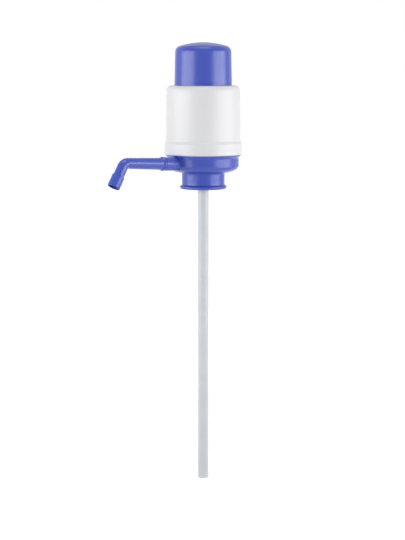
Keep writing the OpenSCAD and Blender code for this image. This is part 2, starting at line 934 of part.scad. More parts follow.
module spout_o_ring() {
    color(black_rubber)
        along_spout()
            translate([ring_x, 0, 0])
                rotate([0, 90, 0])
                    rotate_extrude()
                        translate([ring_groove_r + spout_ring_d / 2, 0])
                            circle(d = spout_ring_d);
}

// A sleeve pushed over the end of the bent leg, with a wider open mouth
module spout_nozzle() {
    seat_r = pipe_end_d / 2 + fit_play;
    mouth_x = leg_l - nozzle_mouth_l;
    color(blue)
        along_spout()
            translate([boss_reach + spout_l, 0, 0])
                rotate([0, bend_angle, 0])
                    x_turned([
                        [seat_r, leg_l - nozzle_l],
                        [nozzle_d / 2 - edge_bevel, leg_l - nozzle_l],
                        [nozzle_d / 2, leg_l - nozzle_l + 2 * edge_bevel],
                        [nozzle_d / 2, leg_l - edge_bevel],
                        [nozzle_d / 2 - edge_bevel, leg_l],
                        [nozzle_bore_d / 2, leg_l],
                        [nozzle_bore_d / 2, mouth_x],
                        [seat_r, mouth_x]
                    ]);
}

base();
rim_gasket();
outlet_valve_ring();
outlet_valve_cage();
tube_seal();
dip_tube_upper();
dip_tube_middle();
dip_tube_lower();
chamber_seal();
chamber_plate();
bellows_clamp_ring();
clamp_screws();
bellows();
return_spring();
housing();
press_cap();
bellows_plate();
cap_screws();
intake_valve_disc();
intake_valve_cage();
spout_pipe();
spout_o_ring();
spout_nozzle();
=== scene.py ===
"""Hand pump for water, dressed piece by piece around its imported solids.

Lengths are in millimetres until a mesh is made. The pump's axis is Z, and the spout leaves to the
left (-X) and the front (-Y).
"""
import math

import bmesh
import bpy
import numpy as np
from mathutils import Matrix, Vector


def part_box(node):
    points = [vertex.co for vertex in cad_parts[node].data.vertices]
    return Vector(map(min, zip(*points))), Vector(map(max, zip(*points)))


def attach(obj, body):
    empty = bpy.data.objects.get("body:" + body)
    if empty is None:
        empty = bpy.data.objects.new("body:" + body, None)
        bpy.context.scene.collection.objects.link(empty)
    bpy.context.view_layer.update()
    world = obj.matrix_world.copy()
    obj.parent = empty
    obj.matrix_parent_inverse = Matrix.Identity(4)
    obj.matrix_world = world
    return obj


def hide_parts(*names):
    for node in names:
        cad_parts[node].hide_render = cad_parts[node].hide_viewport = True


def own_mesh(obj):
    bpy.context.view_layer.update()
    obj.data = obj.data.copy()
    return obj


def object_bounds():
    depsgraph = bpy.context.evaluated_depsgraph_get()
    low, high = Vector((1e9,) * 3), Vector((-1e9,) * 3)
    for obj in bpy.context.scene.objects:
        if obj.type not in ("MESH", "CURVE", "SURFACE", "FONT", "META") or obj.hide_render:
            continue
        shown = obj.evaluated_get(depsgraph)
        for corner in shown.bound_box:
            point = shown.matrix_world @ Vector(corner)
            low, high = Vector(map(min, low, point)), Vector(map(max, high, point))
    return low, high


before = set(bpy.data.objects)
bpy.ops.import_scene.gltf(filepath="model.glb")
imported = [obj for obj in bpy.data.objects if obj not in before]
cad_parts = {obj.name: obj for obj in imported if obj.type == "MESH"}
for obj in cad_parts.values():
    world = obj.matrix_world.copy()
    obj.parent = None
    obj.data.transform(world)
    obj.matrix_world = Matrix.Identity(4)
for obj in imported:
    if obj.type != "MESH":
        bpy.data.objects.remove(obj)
cad_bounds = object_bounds()

# ---- Base ----
# One blue polypropylene moulding: neck socket with a lip bead, shallow bowl, bevelled flange with
# the ring that centres the housing, riser for the dip tube, and the boss that the spout turns in.

MM = 0.001
TURN = 2 * math.pi


def node_box(node):
    """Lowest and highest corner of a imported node, in millimetres."""
    return np.array(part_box(node)) / MM


def arc(centre, radii, start, end, count=24):
    """Corners on an ellipse from one angle to another: centre + radii * (cos, sin), no fillets."""
    angle = np.radians(np.linspace(start, end, count))
    r = centre[0] + radii[0] * np.cos(angle)
    z = centre[1] + radii[1] * np.sin(angle)
    return np.c_[r, z, 0 * angle].tolist()


def rounded(*corners, steps=6, longest=2.5):
    """Closed outline from corners (radius, distance, fillet).

    A corner becomes the arc that touches both of its sides. The arc's centre lies on the bisector,
    fillet / sin(half angle) from the corner, and its ends lie fillet / tan(half angle) from it.
    Points between those ends are a * sin((1 - t) * w) / sin(w) + b * sin(t * w) / sin(w) for the
    arc's turn w. Sides longer than a few millimetres get points between, so that shading is even.
    """
    table = np.array(corners, float)
    corner, fillet = table[:, :2], table[:, 2:]
    back = np.roll(corner, 1, axis=0) - corner
    ahead = np.roll(corner, -1, axis=0) - corner
    back /= np.linalg.norm(back, axis=1, keepdims=True)
    ahead /= np.linalg.norm(ahead, axis=1, keepdims=True)
    half = np.arccos(np.clip((back * ahead).sum(1, keepdims=True), -1, 1)) / 2
    half = np.clip(half, 1e-3, math.pi / 2 - 1e-3)
    centre = corner + (back + ahead) / (2 * np.cos(half)) * fillet / np.sin(half)
    a = corner + back * fillet / np.tan(half) - centre
    b = corner + ahead * fillet / np.tan(half) - centre
    t = np.linspace(0, 1, steps + 1)[:, None]
    w = (math.pi - 2 * half)[:, None]
    arcs = centre[:, None] + (a[:, None] * np.sin((1 - t) * w) + b[:, None] * np.sin(t * w)) / np.sin(w)
    line = arcs.reshape(-1, 2)
    line = line[np.linalg.norm(line - np.roll(line, 1, axis=0), axis=1) > 1e-4]
    line = np.vstack([line, line[:1]])
    side = np.linalg.norm(np.diff(line, axis=0), axis=1)
    parts = np.ceil(side / longest).astype(int)
    start = np.repeat(np.arange(len(side)), parts)
    share = (np.arange(parts.sum()) - np.repeat(np.cumsum(parts) - parts, parts)) / parts[start]
    return line[start] + share[:, None] * (line[start + 1] - line[start])


def upright(x, y, z):
    """Places points about the pump's own axis."""
    return np.stack([x, y, z], axis=-1)


def mesh_piece(name, points, wrap=(True, True)):
    """Closed mesh from a grid of points (rows, columns, xyz): one quad to a cell, ends capped."""
    rows, columns = points.shape[:2]
    i = np.arange(rows - (not wrap[0]))[:, None]
    j = np.arange(columns - (not wrap[1]))[None, :]
    i2, j2 = (i + 1) % rows, (j + 1) % columns
    quads = np.stack([i * columns + j, i * columns + j2, i2 * columns + j2, i2 * columns + j], -1)
    mesh = bpy.data.meshes.new(name)
    mesh.from_pydata((points.reshape(-1, 3) * MM).tolist(), [], quads.reshape(-1, 4).tolist())
    shape = bmesh.new()
    shape.from_mesh(mesh)
    bmesh.ops.remove_doubles(shape, verts=shape.verts, dist=0.001 * MM)
    bmesh.ops.delete(shape, geom=[e for e in shape.edges if e.is_wire], context="EDGES")
    bmesh.ops.holes_fill(shape, edges=[e for e in shape.edges if e.is_boundary], sides=0)
    bmesh.ops.recalc_face_normals(shape, faces=shape.faces)
    if shape.calc_volume(signed=True) < 0:
        bmesh.ops.reverse_faces(shape, faces=shape.faces)
    shape.to_mesh(mesh)
    shape.free()
    piece = bpy.data.objects.new(name, mesh)
    bpy.context.scene.collection.objects.link(piece)
    return piece


def turned(name, outline, place=upright, sides=160, start=0, sweep=360):
    """Outline of (radius, distance) turned about an axis, or through a part of the turn.

    x = radius * cos(angle), y = radius * sin(angle) and z = distance, and place puts the points
    where the piece's axis really runs.
    """
    whole = sweep == 360
    angle = np.radians(start + np.linspace(0, sweep, sides, endpoint=not whole))
    radius, along = outline[:, :1], outline[:, 1:]
    points = place(radius * np.cos(angle), radius * np.sin(angle), along + 0 * angle)
    return mesh_piece(name, points, wrap=(True, whole))


def combined(piece, operation, *tools):
    """Adds the tools to a piece (UNION), cuts them out (DIFFERENCE) or keeps what they share."""
    for tool in tools:
        step = piece.modifiers.new(tool.name, "BOOLEAN")
        step.operation = operation
        step.solver = "MANIFOLD"
        step.object = tool
    whole = piece.evaluated_get(bpy.context.evaluated_depsgraph_get())
    piece.data = bpy.data.meshes.new_from_object(whole)
    piece.modifiers.clear()
    for tool in tools:
        bpy.data.objects.remove(tool)


def linear(code):
    """sRGB hex code to linear colour: x / 12.92 in the darks, else ((x + 0.055) / 1.055) ^ 2.4."""
    srgb = np.array([int(code[i:i + 2], 16) for i in (1, 3, 5)]) / 255
    rgb = np.where(srgb <= 0.04045, srgb / 12.92, ((srgb + 0.055) / 1.055) ** 2.4)
    return (*rgb.tolist(), 1.0)


def add_node(material, kind, inputs=None, **settings):
    """Adds one node. Settings are its own properties. Inputs give a socket a value or a link."""
    node = material.node_tree.nodes.new(kind)
    for name, value in settings.items():
        setattr(node, name, value)
    for name, value in (inputs or {}).items():
        if isinstance(value, bpy.types.NodeSocket):
            material.node_tree.links.new(value, node.inputs[name])
        else:
            node.inputs[name].default_value = value
    return node


def empty_material(name):
    """A material with nothing but its output node, and the link that its shader needs."""
    material = bpy.data.materials.new(name)
    material.use_nodes = True
    material.node_tree.nodes.clear()
    return material


def moulded_plastic(name, light, dark, rough, flow_mm, grain_mm, grain_depth, **shader):
    """Injection-moulded plastic from a finely spark-eroded mould.

    The melt's flow shifts the colour a little over flow_mm, the mould's texture is a bump of
    grain_mm, and rough gives the least and most roughness, which vary as the surface is handled.
    """
    plastic = empty_material(name)
    place = add_node(plastic, "ShaderNodeTexCoord").outputs["Object"]
    flow = add_node(plastic, "ShaderNodeTexNoise",
                    {"Vector": place, "Scale": 1 / (flow_mm * MM), "Detail": 2.0, "Distortion": 0.8})
    handled = add_node(plastic, "ShaderNodeTexNoise",
                       {"Vector": place, "Scale": 4 / (flow_mm * MM), "Detail": 5.0, "Roughness": 0.65})
    grain = add_node(plastic, "ShaderNodeTexNoise",
                     {"Vector": place, "Scale": 1 / (grain_mm * MM), "Detail": 2.0})
    colour = add_node(plastic, "ShaderNodeMix",
                      {"Factor": flow.outputs["Fac"], "A": linear(dark), "B": linear(light)},
                      data_type="RGBA")
    roughness = add_node(plastic, "ShaderNodeMapRange",
                         {"Value": handled.outputs["Fac"], "From Min": 0.3, "From Max": 0.7,
                          "To Min": rough[0], "To Max": rough[1]})
    bump = add_node(plastic, "ShaderNodeBump",
                    {"Height": grain.outputs["Fac"], "Strength": 1.0, "Distance": grain_depth * MM})
    surface = add_node(plastic, "ShaderNodeBsdfPrincipled",
                       {"Base Color": colour.outputs["Result"], "Roughness": roughness.outputs["Result"],
                        "Normal": bump.outputs["Normal"], **shader})
    add_node(plastic, "ShaderNodeOutputMaterial", {"Surface": surface.outputs["BSDF"]})
    return plastic


def dress(piece, material, body, slot, *nodes, sharp=32):
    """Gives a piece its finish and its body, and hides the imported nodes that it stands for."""
    piece.data.materials.clear()
    piece.data.materials.append(material)
    piece.data.shade_smooth()
    piece.data.set_sharp_from_angle(angle=math.radians(sharp))
    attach(piece, body)
    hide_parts(*nodes)


base_low, base_high = node_box("base")
housing_low, housing_high = node_box("housing")

mouth_z = base_low[2]                   # mouth of the neck socket
ring_top_z = base_high[2]               # top of the ring that centres the housing
floor_z = node_box("rim_gasket")[1][2]  # the gasket lies against the bowl's floor
joint_z = housing_low[2]                # the housing stands on the flange
wall = 2.2                              # walls of base, housing and cap
edge = 0.4                              # fillet on a moulding's free edges
fine_edge = 0.3                         # fillet on a small piece's free edges
crease = 0.1                            # fillet in a corner that a joint hides
hidden_edge = 0.2                       # fillet on an edge that a joint hides
snug = 0.05                             # gap round a piece that is pushed into another
cut = 1.0                               # how far a cutting shape runs past what it cuts
socket_r = 27.9
socket_out_r = 29.25
bead_r = 2.75
bead_stand = 3.0
bead_c = (socket_out_r + bead_stand - bead_r, mouth_z + bead_r)
bead_fillet, root_fillet = 0.8, 1.0     # concave fillets over the bead and under the bowl
bowl_r = 48.5
round_w, round_h = 24.0, 9.9            # the bowl's rounded underside
round_c = (bowl_r - round_w, floor_z + round_h)
bowl_side_h = 10.9                      # upright side over the rounding
flange_z = round_c[1] + bowl_side_h
flange_inset = 0.8                      # the housing's band stands out over the flange
flange_r = housing_high[0] - flange_inset
flange_fillet = 0.6
riser_hole_r = 9.0                      # the riser fills this hole in the floor
ring_r = 50.2
root_z = round_c[1] - round_h * math.sqrt(1 - ((socket_out_r - round_c[0]) / round_w) ** 2)

neck_side = [
    *arc(bead_c, (bead_r, bead_r), -90, 65, 16),
    (socket_out_r, mouth_z + 2 * bead_r, bead_fillet),
    (socket_out_r, root_z, root_fillet),
]
bowl_side = [
    *arc(round_c, (round_w, round_h), -74, 0, 40),
    (bowl_r, flange_z, flange_fillet),
    (flange_r - edge, joint_z - 2 * edge, fine_edge),
    (flange_r, joint_z, crease),
]
base = turned("base_moulding", rounded(
    (socket_r, mouth_z, edge),
    *neck_side,
    *bowl_side,
    (ring_r, joint_z, crease),
    (ring_r, ring_top_z, edge),
    (ring_r - wall, ring_top_z, edge),
    (ring_r - wall, joint_z, crease),
    (bowl_r - wall, joint_z, hidden_edge),
    *arc(round_c, (round_w - wall, round_h - wall), 0, -90, 24),
    (riser_hole_r, floor_z + wall, 0),
    (riser_hole_r, floor_z, 0),
    (socket_r, floor_z, fine_edge),
), sides=192)

spout_turn = 222.0                      # direction of the spout, counted from +X
spout_rise = 3.0
boss_root_z = 14.6                      # where the boss's axis crosses the pump's axis
boss_r = 9.1
boss_mouth = 72.6
boss_bore_r, boss_bore_l = 6.7, 22.0
water_r = 4.2
gap_edge = 0.9                          # fillet on both sides of the gap where the spout turns
bend_r = 9.5
bend_turn = math.radians(62)
corner_x = 139.2                        # where the spout's two straight legs would meet
bend_run = bend_r * math.tan(bend_turn / 2)
bend_start = corner_x - bend_run
bend_end = bend_start + bend_r * bend_turn


def along_spout(x, y, s):
    """Places points about the spout's middle line, s millimetres out from the pump's axis.

    The line is straight, then turns down through angle w = (s - start) / bend radius, and is
    straight again: run = straight + r * sin(w), drop = r * (1 - cos(w)). A point x above the line
    lies x * sin(w) further out and x * cos(w) higher. All of it rises a little, and turns to the
    spout's direction.
    """
    w = np.clip((s - bend_start) / bend_r, 0, bend_turn)
    after = np.maximum(s - bend_end, 0)
    run = np.minimum(s, bend_start) + (bend_r + x) * np.sin(w) + after * math.cos(bend_turn)
    up = (bend_r + x) * np.cos(w) - bend_r - after * math.sin(bend_turn)
    tilt, turn = math.radians(spout_rise), math.radians(spout_turn)
    out = run * math.cos(tilt) - up * math.sin(tilt)
    z = boss_root_z + run * math.sin(tilt) + up * math.cos(tilt)
    return upright(out * math.cos(turn) - y * math.sin(turn),
                   out * math.sin(turn) + y * math.cos(turn), z)


def boss_fillet(radius):
    """The small concave fillet between the boss and the bowl, as a closed ring to join to both.

    For each angle round the boss, the corner is where the boss's side meets the bowl's outside.
    The fillet is the curve (1-t)^2 a + 2t(1-t) corner + t^2 b, from a on the boss to b on the bowl.
    """
    search = (bowl_r - 12, bowl_r + 6)  # stretch of the boss in which it leaves the bowl
    tries, columns = 1200, 144
    sunk_s, sunk_r, sunk_end = 1.2, 1.0, 0.3    # how deep the ring's hidden side lies in the base
    profile = rounded(*neck_side, *bowl_side, (0, joint_z, 0), (0, mouth_z, 0))
    profile = profile[(profile[:, 0] > socket_out_r + 1) & (profile[:, 1] > floor_z)]
    profile = profile[np.argsort(profile[:, 1])]
    angle = np.linspace(0, TURN, columns, endpoint=False)[:, None]
    reach = np.linspace(*search, tries)[None, :]

    def meeting(r):
        """Distance along the boss at which a line on the cylinder of radius r leaves the bowl."""
        points = along_spout(r * np.cos(angle), r * np.sin(angle), reach)
        bowl = np.interp(points[..., 2], profile[:, 1], profile[:, 0])
        outside = np.hypot(points[..., 0], points[..., 1]) - bowl
        return reach[0, tries - 1 - np.argmax(outside[:, ::-1] < 0, axis=1)]

    corner, on_bowl = meeting(boss_r), meeting(boss_r + radius)
    t = np.linspace(0, 1, 9)[:, None]
    bow_s = (1 - t) ** 2 * (corner + radius) + 2 * t * (1 - t) * corner + t ** 2 * on_bowl
    bow_r = (1 - t) ** 2 * boss_r + 2 * t * (1 - t) * boss_r + t ** 2 * (boss_r + radius) + 0 * corner
    inner_s = np.stack([on_bowl - sunk_s, corner - sunk_s, corner + radius - sunk_end])
    inner_r = np.stack([boss_r + radius, boss_r - sunk_r, boss_r - sunk_r])[:, None] + 0 * corner
    s = np.vstack([bow_s, inner_s])
    r = np.vstack([bow_r, inner_r])
    return mesh_piece("boss_fillet", along_spout(r * np.cos(angle.T), r * np.sin(angle.T), s))


def on_circle(count, radius):
    """Centres on a circle, the first one half a step away from the spout."""
    angle = np.radians(spout_turn + (np.arange(count) + 0.5) * 360 / count)
    return np.c_[radius * np.cos(angle), radius * np.sin(angle)]


def posts(name, centres, radius, low, high, sides=40):
    """Upright round rods at the given centres, for bosses and for holes."""
    outline = rounded((0, low, 0), (radius, low, 0), (radius, high, 0), (0, high, 0))
    return [turned(name, outline, lambda x, y, z, c=c: upright(x + c[0], y + c[1], z), sides)
            for c in centres]


riser_r = 10.2
riser_z = -16.0
riser_stand = 1.0                       # the riser's top stands over the boss beside it
riser_top_z = boss_root_z + boss_r + riser_stand
tube_r = 7.5
tube_end_gap = 0.3
tube_top_z = node_box("dip_tube_upper")[1][2] + tube_end_gap
seal_z, seal_groove_r, seal_groove_half = -11.0, 8.9, 0.85
riser_bore_r = 5.5
clamp_circle_r = 43.5
clamp_screw_count = 4
screw_boss_r, screw_hole_r = 3.6, 1.55
screw_boss_z, screw_hole_l = 1.0, 9.6
boss_top_gap = 0.3                      # the screw bosses end this far under the flange's top
lug_count, lug_h, lug_stand, lug_angle = 4, 3.0, 0.9, 12.0
lug_z = (joint_z + ring_top_z) / 2
port_count, outlet_port_circle_r, port_r = 8, 13.85, 1.6

clamp_places = on_circle(clamp_screw_count, clamp_circle_r)
screw_bosses = posts("screw_boss", clamp_places, screw_boss_r, screw_boss_z, joint_z - boss_top_gap)
bowl_block = rounded((0, floor_z, 0), *bowl_side, (0, joint_z, 0))
for post in screw_bosses:
    combined(post, "INTERSECT", turned("bowl_block", bowl_block))


def lug_ring(name, play=0.0, fillet=0.0):
    """The snap lugs on the base's ring, or with some play the pockets for them in the housing."""
    out_r = ring_r + lug_stand + play
    low, high = lug_z - play, lug_z + lug_h + play
    outline = rounded((ring_r - edge, low, 0), (out_r, low, fillet),
                      (out_r, high, fillet), (ring_r - edge, high, 0))
    return [
        turned(name, outline, sides=12, sweep=lug_angle + 2 * play,
               start=spout_turn + i * 360 / lug_count - lug_angle / 2 - play)
        for i in range(lug_count)
    ]


riser = turned("riser", rounded(
    (0, riser_z, 0), (riser_r, riser_z, edge), (riser_r, riser_top_z, edge), (0, riser_top_z, 0)))
boss = turned("boss", rounded((0, 0, 0), (boss_r, 0, 0), (boss_r, boss_mouth, gap_edge),
                              (0, boss_mouth, 0)), along_spout, sides=144)
combined(base, "UNION", riser, boss, boss_fillet(radius=0.5), *screw_bosses,
         *lug_ring("lug", fillet=fine_edge))

tube_way = turned("tube_way", rounded(
    (0, riser_z - cut, 0), (tube_r + snug, riser_z - cut, 0),
    (tube_r + snug, seal_z - seal_groove_half, 0), (seal_groove_r, seal_z - seal_groove_half, 0),
    (seal_groove_r, seal_z + seal_groove_half, 0), (tube_r + snug, seal_z + seal_groove_half, 0),
    (tube_r + snug, tube_top_z, 0), (riser_bore_r, tube_top_z, 0),
    (riser_bore_r, boss_root_z, 0), (0, boss_root_z, 0)), sides=96)
spout_way = turned("spout_way", rounded(
    (0, 0, 0), (water_r, 0, 0), (water_r, boss_mouth - boss_bore_l, 0),
    (boss_bore_r, boss_mouth - boss_bore_l, 0), (boss_bore_r, boss_mouth - edge, 0),
    (boss_bore_r + 2 * edge, boss_mouth + edge, 0), (0, boss_mouth + edge, 0)), along_spout, sides=96)
combined(
    base, "DIFFERENCE", tube_way, spout_way,
    *posts("screw_hole", clamp_places, screw_hole_r, joint_z - screw_hole_l, joint_z + cut),
    *posts("air_port", on_circle(port_count, outlet_port_circle_r), port_r,
           floor_z - cut, floor_z + wall + cut))

# Polypropylene, coloured in the melt: a satin skin, a little deeper in colour where it flowed last.
blue_polypropylene = moulded_plastic(
    "blue_polypropylene", light="#3E52B4", dark="#394CAE", rough=(0.27, 0.34), flow_mm=38,
    grain_mm=0.9, grain_depth=0.002, IOR=1.49)
dress(base, blue_polypropylene, "pump_body", "blue_plastic", "base")

# ---- Rim gasket and outlet valve ----
# The silicone gasket seals the neck's rim. Inside it a silicone ring closes the air ports from
# below, held up by a milky cage that is pressed onto the riser.

silicone = moulded_plastic(
    "silicone_rubber", light="#DDE3E6", dark="#D3DADE", rough=(0.42, 0.55), flow_mm=20,
    grain_mm=0.5, grain_depth=0.006, **{
        "IOR": 1.41, "Subsurface Weight": 0.25, "Subsurface Radius": (0.004, 0.004, 0.004),
        "Subsurface Scale": 0.5})
natural_polyethylene = moulded_plastic(
    "natural_polyethylene", light="#E3E6E9", dark="#D9DDE1", rough=(0.34, 0.46), flow_mm=45,
    grain_mm=0.8, grain_depth=0.004, **{"IOR": 1.51, "Transmission Weight": 0.35})


def hole_radius(node):
    """Distance from the pump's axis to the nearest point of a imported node."""
    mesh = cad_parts[node].data
    place = np.empty(len(mesh.vertices) * 3)
    mesh.vertices.foreach_get("co", place)
    x, y = place.reshape(-1, 3)[:, :2].T / MM
    return np.hypot(x, y).min()


def ring(name, node, fillet):
    """A turned ring with a rounded square section, in the place of a packed ring."""
    low, high = node_box(node)
    hole = hole_radius(node)
    return turned(name, rounded(
        (hole, low[2], fillet), (high[0], low[2], fillet),
        (high[0], high[2], fillet), (hole, high[2], fillet)))


def smoothed_copy(name, node):
    """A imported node's own shape as one connected mesh, so that its round faces shade smoothly."""
    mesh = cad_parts[node].data.copy()
    shape = bmesh.new()
    shape.from_mesh(mesh)
    bmesh.ops.remove_doubles(shape, verts=shape.verts, dist=0.001 * MM)
    shape.to_mesh(mesh)
    shape.free()
    piece = bpy.data.objects.new(name, mesh)
    bpy.context.scene.collection.objects.link(piece)
    return piece


dress(ring("neck_gasket", "rim_gasket", fillet=0.6), silicone, "pump_body", "silicone",
      "rim_gasket")
dress(ring("outlet_flap_ring", "outlet_valve_ring", fine_edge), silicone, "outlet_valve",
      "silicone", "outlet_valve_ring")
dress(smoothed_copy("outlet_cage", "outlet_valve_cage"), natural_polyethylene, "pump_body",
      "milky_plastic", "outlet_valve_cage")

# ---- Dip tube and its seal ring ----
# Three milky tube sections are pushed into each other by their spigots, and the top one into the
# riser, where a rubber ring seals it. The tube is extruded, so fine die lines run along it.

tube_wall = 1.3
tube_spigot_l = 12.0


def extruded_polyethylene(die_line_mm=0.9, cloud_mm=30):
    """Milky polyethylene drawn through a die: fine lines 50 times longer along Z than across."""
    milky = empty_material("extruded_polyethylene")
    place = add_node(milky, "ShaderNodeTexCoord").outputs["Object"]
    stretch = add_node(milky, "ShaderNodeMapping", {"Vector": place, "Scale": (1, 1, 0.02)})
    lines = add_node(milky, "ShaderNodeTexNoise",
                     {"Vector": stretch.outputs["Vector"], "Scale": 1 / (die_line_mm * MM),
                      "Detail": 3.0})
    cloud = add_node(milky, "ShaderNodeTexNoise", {"Vector": place, "Scale": 1 / (cloud_mm * MM)})
    colour = add_node(milky, "ShaderNodeMix",
                      {"Factor": cloud.outputs["Fac"], "A": linear("#D5DADF"), "B": linear("#E2E6E9")},
                      data_type="RGBA")
    roughness = add_node(milky, "ShaderNodeMapRange",
                         {"Value": lines.outputs["Fac"], "To Min": 0.28, "To Max": 0.44})
    bump = add_node(milky, "ShaderNodeBump",
                    {"Height": lines.outputs["Fac"], "Strength": 1.0, "Distance": 0.02 * MM})
    surface = add_node(milky, "ShaderNodeBsdfPrincipled",
                       {"Base Color": colour.outputs["Result"], "Roughness": roughness.outputs["Result"],
                        "Normal": bump.outputs["Normal"], "IOR": 1.51, "Transmission Weight": 0.2})
    add_node(milky, "ShaderNodeOutputMaterial", {"Surface": surface.outputs["BSDF"]})
    return milky


tube_polyethylene = extruded_polyethylene()

for level, jointed in (("upper", False), ("middle", True), ("lower", True)):
    low, high = node_box("dip_tube_" + level)
    top = high[2] - (tube_spigot_l if jointed else 0)
    bore_r = tube_r - tube_wall
    spigot_r = bore_r - snug
    if jointed:
        head = [
            (spigot_r, top, hidden_edge),
            (spigot_r, high[2], fine_edge),
            (spigot_r - tube_wall, high[2], fine_edge),
            (spigot_r - tube_wall, top - tube_spigot_l, crease),
            (bore_r, top - tube_spigot_l, crease),
        ]
    else:
        head = [(bore_r, top, fine_edge)]
    section = turned(f"tube_{level}", rounded(
        (bore_r, low[2], fine_edge), (tube_r, low[2], edge), (tube_r, top, edge), *head, longest=8),
        sides=96)
    dress(section, tube_polyethylene, "pump_body", "milky_plastic", "dip_tube_" + level)

black_rubber = moulded_plastic(
    "nitrile_rubber", light="#2B2B2D", dark="#1D1D1F", rough=(0.5, 0.68), flow_mm=16,
    grain_mm=0.45, grain_depth=0.02, IOR=1.52)


def o_ring(name, radius, cord_r, along, place=upright):
    """A rubber ring of a round cord: radius of its middle line and of its cord, place along."""
    section = arc((radius, along), (cord_r, cord_r), 0, 360, 25)[:-1]
    return turned(name, rounded(*section), place, 120)


seal_ring_r, seal_cord_r = tube_r + 0.725, 0.675
dress(o_ring("riser_seal_ring", seal_ring_r, seal_cord_r, seal_z), black_rubber, "pump_body",
      "black_rubber", "tube_seal")

# ---- Chamber plate, clamp ring and their screws ----
# A white plate closes the bowl over a flat rubber seal and centres the spring. The clamp ring over
# it grips the bellows' flange, and four stainless pan-head screws hold both down.

white_abs = moulded_plastic(
    "white_abs", light="#DEDEDF", dark="#DADADC", rough=(0.38, 0.48), flow_mm=60,
    grain_mm=0.8, grain_depth=0.003, IOR=1.53)


def stainless_steel(grain_mm=0.6):
    """Cold-formed and tumbled stainless steel: bright, with a fine grain in tone and gloss."""
    steel = empty_material("stainless_steel")
    place = add_node(steel, "ShaderNodeTexCoord").outputs["Object"]
    grain = add_node(steel, "ShaderNodeTexNoise",
                     {"Vector": place, "Scale": 1 / (grain_mm * MM), "Detail": 4.0})
    roughness = add_node(steel, "ShaderNodeMapRange",
                         {"Value": grain.outputs["Fac"], "To Min": 0.2, "To Max": 0.36})
    colour = add_node(steel, "ShaderNodeMix",
                      {"Factor": grain.outputs["Fac"], "A": linear("#A9ABAE"), "B": linear("#C6C8CA")},
                      data_type="RGBA")
    bump = add_node(steel, "ShaderNodeBump",
                    {"Height": grain.outputs["Fac"], "Strength": 1.0, "Distance": 0.003 * MM})
    surface = add_node(steel, "ShaderNodeBsdfPrincipled",
                       {"Base Color": colour.outputs["Result"], "Roughness": roughness.outputs["Result"],
                        "Normal": bump.outputs["Normal"], "Metallic": 1.0})
    add_node(steel, "ShaderNodeOutputMaterial", {"Surface": surface.outputs["BSDF"]})
    return steel


steel = stainless_steel()

dress(ring("bowl_seal", "chamber_seal", hidden_edge), black_rubber, "pump_body", "black_rubber",
      "chamber_seal")
dress(smoothed_copy("bowl_cover_plate", "chamber_plate"), white_abs, "pump_body", "white_plastic",
      "chamber_plate")
dress(smoothed_copy("bellows_clamp", "bellows_clamp_ring"), white_abs, "pump_body",
      "white_plastic", "bellows_clamp_ring")
dress(smoothed_copy("clamp_screw_set", "clamp_screws"), steel, "pump_body", "stainless_steel",
      "clamp_screws")

# ---- Bellows ----
# A moulded rubber bellows pumps the air. Its lower flange is clamped over the bowl, and its upper
# one is screwed to the cap with the plate inside it. It is drawn at rest and moves with the pump's body.

bellows_low, bellows_high = node_box("bellows")
bellows_wall = 1.9
bellows_flange_t = 2.0
bellows_flange_r = bellows_high[0]
bellows_r = 34.0
fold_depth = 6.5
fold_count = 10
bellows_hole_r = 12.0
fold_low = bellows_low[2] + bellows_flange_t
fold_high = bellows_high[2] - bellows_flange_t
fold_fillet, top_fillet = 0.9, 0.5
cap_screw_count, cap_circle_r = 3, 16.15
cap_screw_places = on_circle(cap_screw_count, cap_circle_r)


def folds(radius):
    """Corners of the folds from the lowest up: crests at radius, valleys one fold depth inside."""
    height = np.linspace(fold_low, fold_high, 2 * fold_count + 1)[1:-1]
    valley = np.arange(len(height)) % 2 == 0
    return np.c_[radius - valley * fold_depth, height, 0 * height + fold_fillet].tolist()


bellows = turned("rubber_bellows", rounded(
    (bellows_r - bellows_wall, bellows_low[2], hidden_edge),
    (bellows_flange_r, bellows_low[2], fine_edge),
    (bellows_flange_r, fold_low, fine_edge),
    (bellows_r, fold_low, crease),
    *folds(bellows_r),
    (bellows_r, fold_high, top_fillet),
    (bellows_r - bellows_flange_t, bellows_high[2], top_fillet),
    (bellows_hole_r, bellows_high[2], fine_edge),
    (bellows_hole_r, fold_high, fine_edge),
    (bellows_r - bellows_wall, fold_high, crease),
    *folds(bellows_r - bellows_wall)[::-1],
))
combined(bellows, "DIFFERENCE", *posts(
    "bellows_screw_hole", cap_screw_places, screw_hole_r, fold_high - cut, bellows_high[2] + cut))
dress(bellows, black_rubber, "pump_body", "black_rubber", "bellows", sharp=50)
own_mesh(bellows)

# ---- Return spring ----
# A stainless wire spring, wound with a closed coil at each end, pushes the cap back up. It stands
# in the chamber plate's rim and under the bellows plate.

wire_r = 1.2
spring_r = node_box("return_spring")[1][0] - wire_r
open_coils = 8
coil_count = open_coils + 2             # one closed coil at each end
coil_gap = 0.7
closed_pitch = 2 * wire_r + coil_gap
coil_steps, wire_sides = 72, 16
# The bellows plate over the spring is 2.5 thick.
spring_z = (bellows_low[2] + wire_r + snug, fold_high - 2.5 - wire_r - snug)
open_pitch = (spring_z[1] - spring_z[0] - 2 * closed_pitch) / open_coils


def wire_line(t):
    """Middle line of the wire after t coils: a helix whose climb is small in both end coils."""
    climb = (closed_pitch * (np.minimum(t, 1) + np.maximum(t - coil_count + 1, 0))
             + open_pitch * np.clip(t - 1, 0, open_coils))
    return upright(spring_r * np.cos(TURN * t), spring_r * np.sin(TURN * t), spring_z[0] + climb)


